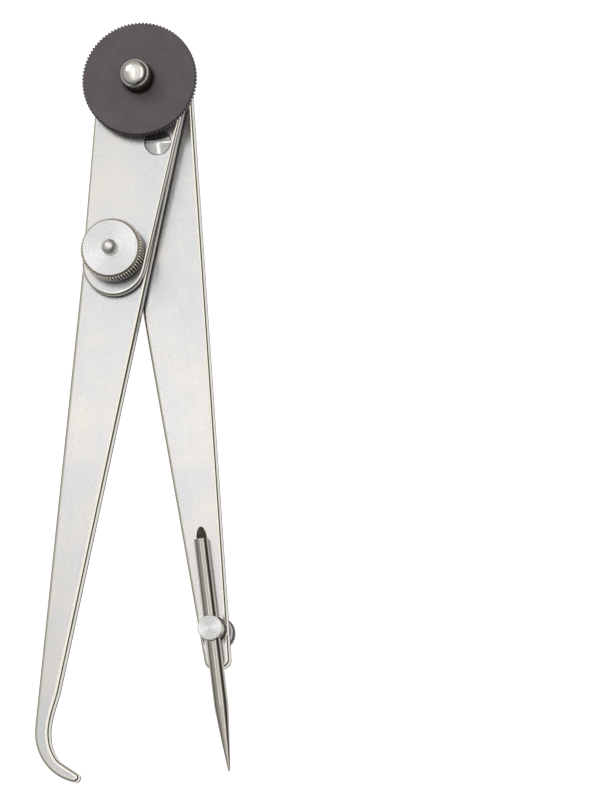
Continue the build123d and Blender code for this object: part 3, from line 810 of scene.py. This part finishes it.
# binding stud's dome, washer and nut
dome = dict(radius=1.7 * mm, fullness=2.0)
domeLow, domeHigh = boxOf("binding_stud")
domeCentre = domeHigh[2] - dome["radius"]
domePath = domeSide(dome["radius"], dome["radius"], domeHigh[2], dome["fullness"], 28)
domeSidePath = roundedPath([
    (0, domeLow[2], 0, 0), (dome["radius"], domeLow[2], 0.12 * mm, 0), (dome["radius"], nutHigh[2], 0, 0),
    (dome["radius"], domeCentre - 0.2 * mm, 0, 0)])
piece = turnedPiece("bindingStudTurned", np.vstack((domeSidePath, domePath)), bindingPlace, 128)
finished(piece, polishedSteel("domeSteel", (0.97, 0.95, 0.90), 0.36, bindingPlace),
         "hook_leg_body", "binding_stud")

nut = dict(teeth=64, depth=0.34 * mm, crest=0.8, hub=4.9 * mm, hubHeight=0.9 * mm, rearBevel=0.5 * mm,
           bevelHeight=0.35 * mm, shoulder=0.4 * mm, faceDrop=0.75 * mm, faceInset=0.6 * mm)
nutRadius = 6.8 * mm
nutRear = nutLow[2] + nut["hubHeight"]
# the hub's corner under the nut gets painted shade; the bevels and the face's rim get a painted highlight
nutPath = roundedPath([
    (0, nutLow[2], 0, 0), (nut["hub"], nutLow[2], 0.1 * mm, 0.5), (nut["hub"], nutRear, 0, -1.0),
    (nutRadius - nut["rearBevel"], nutRear, 0.1 * mm, 0.5),
    (nutRadius, nutRear + nut["bevelHeight"], 0, 0),
    (nutRadius, nutHigh[2] - nut["faceDrop"], 0, 0),
    (nutRadius - nut["shoulder"], nutHigh[2] - nut["faceDrop"], 0, 0),
    (nutRadius - nut["faceInset"] + 0.06 * mm, nutHigh[2] - 0.12 * mm, 0.06 * mm, 0.5),
    (nutRadius - nut["faceInset"] - 0.1 * mm, nutHigh[2], 0.1 * mm, 1.0),
    (0, nutHigh[2], 0, 0)])
piece = turnedPiece("bindingNutTurned", nutPath, bindingPlace, nut["teeth"] * 8,
                    dict(count=nut["teeth"], depth=nut["depth"], radius=nutRadius, crest=nut["crest"]))
finished(piece, turnedSteel("nutSteel", bindingPlace, 2400.0, 0.03, nutRadius - nut["shoulder"] - 0.28 * mm),
         "binding_nut_body", "binding_nut")

washerLow, washerHigh = boxOf("binding_washer")
washerRadius = radiusOf("binding_washer")
washerPath = roundedPath([
    (0, washerLow[2], 0, 0), (washerRadius, washerLow[2], 0.08 * mm, 1.0),
    (washerRadius, washerHigh[2], 0.08 * mm, 1.0), (0, washerHigh[2], 0, 0)])
piece = turnedPiece("bindingWasherTurned", washerPath, bindingPlace, 128)
finished(piece, turnedSteel("washerSteel", bindingPlace, 2000.0, 0.08, 1.0),
         "hook_leg_body", "binding_washer")

# scriber: ground rod with a long convex point
rod = dict(taper=14.3 * mm, middle=7.3 * mm, middleRadius=0.95 * mm, tipRadius=0.24 * mm, tipLength=0.16 * mm,
           endBreak=0.15 * mm)
rodTop, rodTip = -rodHigh[1], -rodLow[1]


def taperPath(size):
    # the point's long convex side: a parabola through its start, its middle and its tip
    places = np.array((0, size["middle"], size["taper"] - size["tipLength"]))
    radii = np.array((rodRadius, size["middleRadius"], size["tipRadius"]))
    curve = np.polyfit(places, radii, 2)
    along = np.linspace(0, places[2], 40)
    return np.column_stack((np.polyval(curve, along), rodTip - size["taper"] + along, np.zeros(40)))


rodPath = np.vstack((roundedPath([(0, rodTop, 0, 0), (rodRadius, rodTop, rod["endBreak"], 1.0),
                                  (rodRadius, rodTip - rod["taper"] - mm, 0, 0)]),
                     taperPath(rod), [[0, rodTip, 0]]))
piece = turnedPiece("scriberGround", rodPath, jointPlace, 128, alongRod=True)
finished(piece, groundSteel("scriberSteel"), "scriber_body", "scriber")

# scriber clamp: eye bolt and blind knurled nut
boltLow, boltHigh = boxOf("clamp_eye_bolt")
bolt = dict(headRear=1.35 * mm, shank=1.5 * mm, edgeRound=0.14 * mm, eyeRoom=0.03 * mm)
boltRadius = radiusOf("clamp_eye_bolt")
boltPath = roundedPath([
    (0, boltLow[2], 0, 0), (bolt["shank"], boltLow[2], 0.15 * mm, 1.0),
    (bolt["shank"], bolt["headRear"], 0, 0), (boltRadius, bolt["headRear"], 0.08 * mm, 0),
    (boltRadius, boltHigh[2], bolt["edgeRound"], 1.0), (0, boltHigh[2], 0, 0)])
piece = turnedPiece("clampEyeBoltTurned", boltPath, clampPlace, 160)
eyeRadius = rodRadius + bolt["eyeRoom"]
eyeFrom, eyeTo = -clampPlace[1] - 2 * boltRadius, -clampPlace[1] + 2 * boltRadius
carve(piece, [turnedPiece("eye", np.array([[0, eyeFrom, 0], [eyeRadius, eyeFrom, 0], [eyeRadius, eyeTo, 0],
                                           [0, eyeTo, 0]]), jointPlace, 96, alongRod=True)])
finished(piece, turnedSteel("clampHeadSteel", clampPlace, 5200.0, 0.0, boltRadius - 0.12 * mm,
                            anisotropy=0.85), "point_leg_body", "clamp_eye_bolt")

clampNut = dict(teeth=36, depth=0.25 * mm, crest=0.4, knurlTo=2.0 * mm, neck=0.35 * mm)
clampRadius = 3.75 * mm
clampPath = roundedPath([
    (0, clampNutLow[2], 0, 0),
    (clampRadius - 0.25 * mm, clampNutLow[2], 0.12 * mm, 1.0),
    (clampRadius, clampNutLow[2] + 0.3 * mm, 0, 0),
    (clampRadius, clampNutLow[2] + clampNut["knurlTo"], 0, 0),
    (clampRadius - clampNut["neck"], clampNutLow[2] + clampNut["knurlTo"] + 0.2 * mm, 0, 0),
    (clampRadius - clampNut["neck"], clampNutHigh[2] - 0.5 * mm, 0.3 * mm, 0.5),
    (clampRadius - 0.7 * mm, clampNutHigh[2], 0, 0), (0, clampNutHigh[2], 0, 0)])
piece = turnedPiece("clampNutTurned", clampPath, clampPlace, clampNut["teeth"] * 10,
                    dict(count=clampNut["teeth"], depth=clampNut["depth"], radius=clampRadius,
                         crest=clampNut["crest"]))
# the clamp nut's dark knurl tone is painted shade, where it lies under the point leg
finished(piece, turnedSteel("clampNutSteel", clampPlace, 3800.0, 0.06, clampRadius - 0.3 * mm,
                            (0.15, 0.125, 0.09, 1), 0.85), "clamp_nut_body", "clamp_nut")

# inner pieces keep their shape from the frame
innerSteel = turnedSteel("innerSteel", jointPlace, 1800.0, 0.08, 1.0)
for node in ("distance_collar", "key_washer", "spring_washer"):
    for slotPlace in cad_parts[node].material_slots:
        slotPlace.material = innerSteel
print("pieces built")

# stage: pale floor, soft light and camera
floorLook = dict(size=3.0, tone=(0.62, 0.62, 0.615, 1), fill=0.86, dark=0.10, bright=0.95, gap=0.02 * mm)
floorFrom = clampPlace[1] - clampRadius
floorLean = -clampNutLow[2] / (pointHigh[0] - floorFrom)
corner = floorLook["size"] / 2
sheetY = np.array((-corner, -corner, corner, corner))
sheetZ = clampNutLow[2] + (sheetY - floorFrom) * floorLean - floorLook["gap"]
sheet = np.column_stack(((-corner, corner, corner, -corner), sheetY, sheetZ))
floor = meshPiece("floor", sheet, [(np.array([[0, 1, 2, 3]]), False)])


def floorMaterial():
    # pale paper that glows evenly; glossy rays see it dim at a low angle, a painted shade that draws dark
    # lines along the polished edges
    material, tree, shader, vector = newMaterial("palePaper")
    patch = noise(tree, vector, 6.0, 2.0, 0.5)
    joined(tree, shader.inputs["Base Color"], blended(tree, patch, floorLook["tone"], (0.63, 0.63, 0.63, 1)))
    shader.inputs["Roughness"].default_value = 0.9
    shader.inputs["Specular IOR Level"].default_value = 0.1
    shader.inputs["Emission Color"].default_value = (1, 1, 1, 1)
    shader.inputs["Emission Strength"].default_value = floorLook["fill"]
    glow = tree.nodes.new("ShaderNodeEmission")
    facing = tree.nodes.new("ShaderNodeLayerWeight")
    strength = ranged(tree, facing.outputs["Facing"], 0.60, 0.88, floorLook["bright"], floorLook["dark"])
    joined(tree, glow.inputs["Strength"], strength)
    rays = tree.nodes.new("ShaderNodeLightPath")
    choice = tree.nodes.new("ShaderNodeMixShader")
    tree.links.new(rays.outputs["Is Glossy Ray"], choice.inputs[0])
    tree.links.new(shader.outputs[0], choice.inputs[1])
    tree.links.new(glow.outputs[0], choice.inputs[2])
    tree.links.new(choice.outputs[0], tree.nodes["Material Output"].inputs["Surface"])
    return material


floor.data.materials.append(floorMaterial())

# a gradient that brightens towards the top, a soft panel overhead, a dim wall to the right, and the dark
# stand in front of the tool
skyLook = dict(towards=(-0.14, 0.24, 0.96), low=0.10, high=0.55, startAt=-0.05, fullAt=0.85,
               panel=0.98, panelAt=(0.34, 0.15), panelHalf=(0.76, 0.65), panelSoft=0.10, wallDim=0.6,
               standSide=(0.978, 0.207, 0), standAhead=(0.207, -0.978, 0), standDim=0.85)
world = bpy.data.worlds.new("softStudio")
bpy.context.scene.world = world
world.use_nodes = True
tree = world.node_tree
direction = tree.nodes.new("ShaderNodeTexCoord").outputs["Generated"]
height = vectorCalc(tree, "DOT_PRODUCT", direction, skyLook["towards"])
skyRange = tree.nodes.new("ShaderNodeMapRange")
skyRange.interpolation_type = "SMOOTHSTEP"
joined(tree, skyRange.inputs["Value"], height)
for label, key in (("From Min", "startAt"), ("From Max", "fullAt"), ("To Min", "low"), ("To Max", "high")):
    skyRange.inputs[label].default_value = skyLook[key]
parts = tree.nodes.new("ShaderNodeSeparateXYZ")
tree.links.new(direction, parts.inputs[0])
panelShare = ranged(tree, parts.outputs["Z"], 0.3, 0.4, 0.0, 1.0)
for axis, middle, half in zip("XY", skyLook["panelAt"], skyLook["panelHalf"]):
    run = calc(tree, "DIVIDE", parts.outputs[axis], calc(tree, "MAXIMUM", parts.outputs["Z"], 0.05))
    away = calc(tree, "ABSOLUTE", calc(tree, "SUBTRACT", run, middle))
    soft = skyLook["panelSoft"]
    panelShare = calc(tree, "MULTIPLY", panelShare, ranged(tree, away, half - soft, half + soft, 1.0, 0.0))
standWidth = ranged(tree, parts.outputs["Z"], 0.0, 0.6, 0.40, 0.08)
besides = calc(tree, "ABSOLUTE", vectorCalc(tree, "DOT_PRODUCT", direction, skyLook["standSide"]))
stand = ranged(tree, calc(tree, "SUBTRACT", besides, standWidth), -0.04, 0.04, 1.0, 0.0)
stand = calc(tree, "MULTIPLY", stand, ranged(tree, parts.outputs["Z"], 0.58, 0.68, 1.0, 0.0))
ahead = vectorCalc(tree, "DOT_PRODUCT", direction, skyLook["standAhead"])
stand = calc(tree, "MULTIPLY", stand, ranged(tree, ahead, 0.2, 0.3, 0.0, skyLook["standDim"]))
wall = calc(tree, "MULTIPLY", ranged(tree, parts.outputs["X"], 0.25, 0.55, 0.0, skyLook["wallDim"]),
            ranged(tree, parts.outputs["Z"], 0.50, 0.68, 1.0, 0.0))
dimmed = calc(tree, "MULTIPLY", skyRange.outputs[0], calc(tree, "SUBTRACT", 1.0, wall))
lit = ranged(tree, panelShare, 0.0, 1.0, dimmed, skyLook["panel"])
background = tree.nodes["Background"]
background.inputs["Color"].default_value = (1.0, 0.995, 0.985, 1)
tree.links.new(calc(tree, "MULTIPLY", lit, calc(tree, "SUBTRACT", 1.0, stand)), background.inputs["Strength"])


def aimed(name, data, place, right, up, back):
    # an object whose own axes are right, up and back: a light or a camera looks along -back
    holder = bpy.data.objects.new(name, data)
    bpy.context.scene.collection.objects.link(holder)
    matrix = holder.matrix_world.copy()
    for row in range(3):
        matrix[row] = (right[row], up[row], back[row], place[row])
    holder.matrix_world = matrix
    return holder


def unit(vector):
    return np.array(vector) / np.linalg.norm(vector)


def softLight(name, place, width, length, power, tint):
    # a rectangular soft box whose length lies along the tool
    light = bpy.data.lights.new(name, "AREA")
    light.shape = "RECTANGLE"
    light.size = width
    light.size_y = length
    light.energy = power
    light.color = tint
    back = unit(np.array(place) - partMiddle)
    right = unit(np.cross((0, 1, 0), back))
    aimed(name, light, place, right, np.cross(back, right), back)


partMiddle = (np.array(cadBox[0]) + np.array(cadBox[1])) / 2
studioLights = dict(
    keyLight=dict(place=(-0.38, 0.50, 0.75), width=0.34, length=0.34, power=0.80, tint=(1.0, 0.985, 0.96)),
    overheadStrip=dict(place=(-0.15, 0.12, 0.95), width=0.035, length=0.45, power=0.14, tint=(1.0, 1.0, 1.0)),
    sideStrip=dict(place=(0.50, 0.02, 0.80), width=0.09, length=0.9, power=0.30, tint=(1.0, 0.99, 0.97)))
for name, values in studioLights.items():
    softLight(name, **values)

view = dict(azimuth=33.48, elevation=76.0, roll=-41.5, aim=(0.02407, -0.07442, 0.0040), distance=0.9622,
            lens=200.1, sensor=36.0)


def addCamera(view):
    # azimuth is measured from -Y towards +X; roll turns the picture about the line of sight
    camera = bpy.data.cameras.new("camera")
    camera.sensor_width = view["sensor"]
    camera.lens = view["lens"]
    camera.clip_start = 0.01
    azimuth, elevation, roll = (math.radians(view[key]) for key in ("azimuth", "elevation", "roll"))
    back = np.array((math.sin(azimuth) * math.cos(elevation), -math.cos(azimuth) * math.cos(elevation),
                     math.sin(elevation)))
    level = np.array((math.cos(azimuth), math.sin(azimuth), 0))
    right = level * math.cos(roll) + np.cross(back, level) * math.sin(roll)
    place = np.array(view["aim"]) + back * view["distance"]
    bpy.context.scene.camera = aimed("camera", camera, place, right, np.cross(back, right), back)


addCamera(view)
bpy.context.scene.view_settings.view_transform = "Standard"
print("stage ready")
